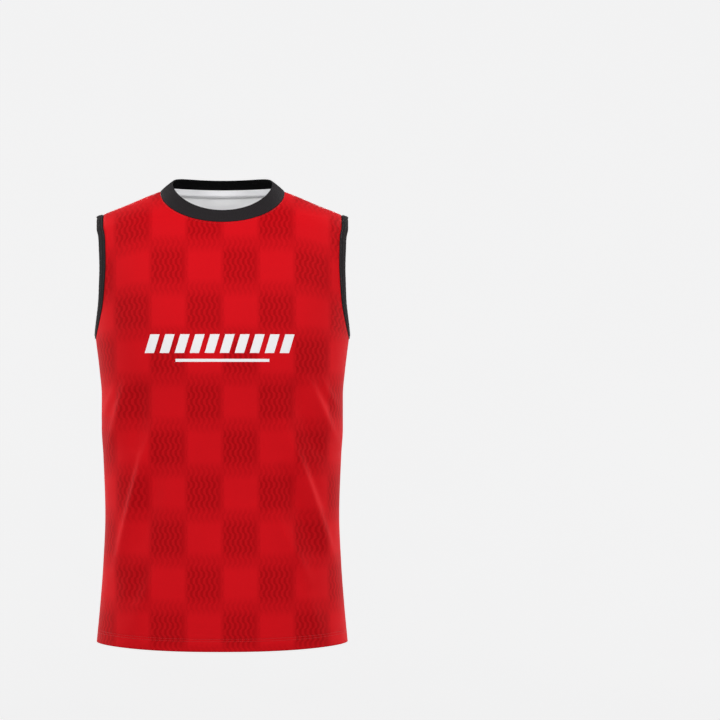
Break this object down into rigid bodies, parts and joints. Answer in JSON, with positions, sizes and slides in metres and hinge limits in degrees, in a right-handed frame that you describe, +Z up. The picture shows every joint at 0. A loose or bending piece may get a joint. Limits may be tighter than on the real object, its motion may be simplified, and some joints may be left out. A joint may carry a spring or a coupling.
{
  "type": "sleeveless training bib",
  "caption": "Sleeveless crew-neck training bib in light knit, filled out as worn, with a ribbed neck band and bound armholes.",
  "frame": {"origin": "middle of the neck, level with the points where the neck rib meets the shoulder seams", "axes": "+Z up along the garment from hem to neck, -Y out of the chest, +X towards the wearer's left"},
  "size_m": [0.3876, 0.2342, 0.7221],
  "materials": {
    "red_knit": "light knitted polyester printed red outside with a tonal check of plain and zigzag cells, white inside, soft sheen",
    "black_rib": "black one-by-one rib knit, matt",
    "black_binding": "black knitted binding with stitching along its seam, matt",
    "white_tape": "white woven tape, matt"
  },
  "bodies": {
    "root": {"front_panel": "red_knit", "back_panel": "red_knit", "neck_rib": "black_rib", "armhole_binding_left": "black_binding", "armhole_binding_right": "black_binding", "back_neck_tape": "white_tape"}
  },
  "joints": []
}
